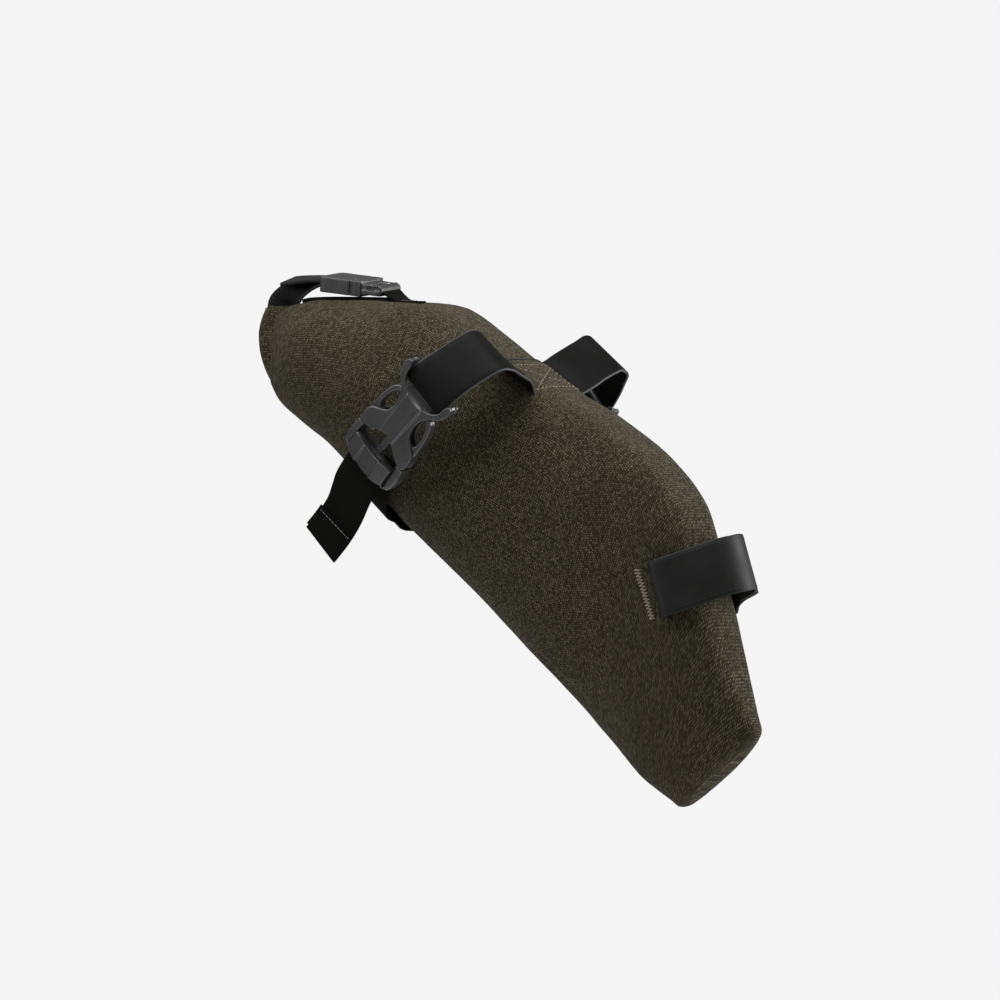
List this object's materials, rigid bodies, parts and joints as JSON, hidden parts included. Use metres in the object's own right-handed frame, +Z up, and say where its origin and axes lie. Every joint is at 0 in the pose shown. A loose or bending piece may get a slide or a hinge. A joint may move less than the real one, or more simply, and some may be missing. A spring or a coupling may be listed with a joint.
{
  "type": "saddle bag",
  "caption": "Long tapering roll-top bag that hangs under a bicycle saddle: a strap over the saddle rails with side-release buckles, webbing under the belly, and a strap round the seat post.",
  "frame": {"origin": "on the flat front face of the bag that leans on the seat post, at the height of the seat-post strap, on the bag's middle plane", "axes": "+X towards the front of the bicycle, -Y towards the near side, +Z up"},
  "size_m": [0.3969, 0.1994, 0.3483],
  "materials": {
    "olive_fabric": "matte woven melange",
    "patch_fabric": "matte woven melange, lighter",
    "rubberised_strap": "matte rubberised laminate",
    "black_webbing": "finely ribbed webbing",
    "black_plastic": "satin moulded plastic",
    "stiffener_sheet": "plain sheet",
    "tan_thread": "sewing thread",
    "hook_and_loop": "hook and loop pile"
  },
  "bodies": {
    "bag": {"bag_body": "olive_fabric", "base_stiffener": "stiffener_sheet", "roll_top": "olive_fabric", "roll_stiffener": "stiffener_sheet", "saddle_strap": "rubberised_strap", "strap_patch": "patch_fabric", "near_buckle_female": "black_plastic", "far_buckle_female": "black_plastic", "compression_webbing": "black_webbing", "closure_webbing_rear": "black_webbing", "closure_webbing_front": "black_webbing", "closure_buckle_male": "black_plastic", "near_bar_tack": "tan_thread", "far_bar_tack": "tan_thread"},
    "near_male": {"near_buckle_male": "black_plastic", "near_webbing_tail": "black_webbing"},
    "far_male": {"far_buckle_male": "black_plastic", "far_webbing_tail": "black_webbing"},
    "near_front_prong": {"near_prong_front": "black_plastic"},
    "near_rear_prong": {"near_prong_rear": "black_plastic"},
    "far_front_prong": {"far_prong_front": "black_plastic"},
    "far_rear_prong": {"far_prong_rear": "black_plastic"},
    "closure_female": {"closure_buckle_female": "black_plastic"},
    "closure_near_prong": {"closure_prong_near": "black_plastic"},
    "closure_far_prong": {"closure_prong_far": "black_plastic"},
    "near_strap": {"seatpost_strap": "rubberised_strap", "strap_hook_pad": "hook_and_loop"},
    "far_flap": {"seatpost_flap": "rubberised_strap", "flap_loop_pad": "hook_and_loop"}
  },
  "joints": [
    {"name": "near_buckle_slide", "type": "slide", "parent": "bag", "child": "near_male", "axis": [-0.7561, 0.1549, -0.6359], "range_m": [0, 0.032], "deforming": ["compression_webbing"]},
    {"name": "far_buckle_slide", "type": "slide", "parent": "bag", "child": "far_male", "axis": [-0.7561, -0.1549, -0.6359], "range_m": [0, 0.032], "deforming": ["compression_webbing"]},
    {"name": "near_front_squeeze", "type": "hinge", "parent": "near_male", "child": "near_front_prong", "pos_m": [-0.18937, -0.08536, 0.07348], "axis": [-0.1462, -0.987, -0.0667], "range_deg": [0, 6], "stiffness_Nm_per_rad": 0.2},
    {"name": "near_rear_squeeze", "type": "hinge", "parent": "near_male", "child": "near_rear_prong", "pos_m": [-0.20531, -0.08429, 0.0927], "axis": [0.1462, 0.987, 0.0667], "range_deg": [0, 6], "stiffness_Nm_per_rad": 0.2},
    {"name": "far_front_squeeze", "type": "hinge", "parent": "far_male", "child": "far_front_prong", "pos_m": [-0.18937, 0.08536, 0.07348], "axis": [0.1462, -0.987, 0.0667], "range_deg": [0, 6], "stiffness_Nm_per_rad": 0.2},
    {"name": "far_rear_squeeze", "type": "hinge", "parent": "far_male", "child": "far_rear_prong", "pos_m": [-0.20531, 0.08429, 0.0927], "axis": [-0.1462, 0.987, -0.0667], "range_deg": [0, 6], "stiffness_Nm_per_rad": 0.2},
    {"name": "closure_slide", "type": "slide", "parent": "bag", "child": "closure_female", "axis": [-0.9939, 0, 0.11], "range_m": [0, 0.018], "deforming": ["closure_webbing_rear"]},
    {"name": "closure_far_squeeze", "type": "hinge", "parent": "bag", "child": "closure_far_prong", "pos_m": [-0.27748, 0.00674, 0.1861], "axis": [0.1072, -0.2237, 0.9688], "range_deg": [0, 6], "stiffness_Nm_per_rad": 0.008},
    {"name": "closure_near_squeeze", "type": "hinge", "parent": "bag", "child": "closure_near_prong", "pos_m": [-0.27782, -0.00674, 0.18302], "axis": [-0.1072, 0.2237, -0.9688], "range_deg": [0, 6], "stiffness_Nm_per_rad": 0.008},
    {"name": "near_strap_swing", "type": "hinge", "parent": "bag", "child": "near_strap", "pos_m": [-0.01491, -0.038, -0.01069], "axis": [0.3123, 0, -0.95], "range_deg": [0, 70]},
    {"name": "far_flap_swing", "type": "hinge", "parent": "bag", "child": "far_flap", "pos_m": [-0.01491, 0.038, -0.01069], "axis": [-0.3123, 0, 0.95], "range_deg": [0, 70]}
  ],
  "couplings": [
    {"joint": "near_rear_squeeze", "follows": "near_front_squeeze", "ratio": 1},
    {"joint": "far_rear_squeeze", "follows": "far_front_squeeze", "ratio": 1},
    {"joint": "closure_near_squeeze", "follows": "closure_far_squeeze", "ratio": 1}
  ]
}
